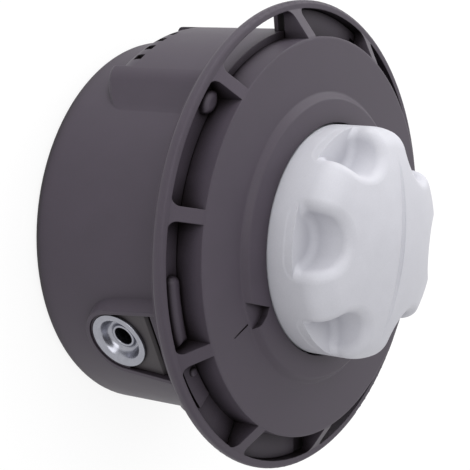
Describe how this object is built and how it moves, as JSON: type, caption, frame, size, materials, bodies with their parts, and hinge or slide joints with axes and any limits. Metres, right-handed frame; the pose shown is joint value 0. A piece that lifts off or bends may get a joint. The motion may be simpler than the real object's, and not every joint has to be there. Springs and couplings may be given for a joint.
{
  "type": "bump feed trimmer head",
  "caption": "Round bump feed line head: black drum with bright line outlets, windowed rim cap and a grey scalloped bump knob, standing on its back.",
  "frame": {"origin": "centre of the drum's flat back face, on the spin axis", "axes": "+Z along the spin axis towards the bump knob, +X along one line outlet"},
  "size_m": [0.13, 0.13, 0.0851],
  "materials": {
    "black_nylon": "moulded, fine satin",
    "grey_nylon": "moulded, satin",
    "inner_nylon": "moulded, satin",
    "turned_aluminium": "bright turned",
    "zinc_steel": "zinc plated",
    "spring_steel": "drawn wire, satin"
  },
  "bodies": {
    "head": {"housing": "black_nylon", "threaded_bush": "zinc_steel", "outlet_insert_1": "black_nylon", "outlet_insert_2": "black_nylon", "eyelet_1": "turned_aluminium", "eyelet_2": "turned_aluminium", "cap": "black_nylon", "spring_base": "zinc_steel", "spring": "spring_steel"},
    "bump_carrier": {"spring_seat": "zinc_steel"},
    "spool_and_knob": {"spool": "inner_nylon", "knob": "grey_nylon", "knob_screws": "zinc_steel"}
  },
  "joints": [
    {"name": "bump_slide", "type": "slide", "parent": "head", "child": "bump_carrier", "axis": [0, 0, -1], "range_m": [0, 0.0055], "stiffness_N_per_m": 1500, "springref_m": -0.008, "deforming": ["spring"]},
    {"name": "spool_spin", "type": "hinge", "parent": "bump_carrier", "child": "spool_and_knob", "pos_m": [0, 0, 0.0276], "axis": [0, 0, 1], "continuous": true}
  ]
}
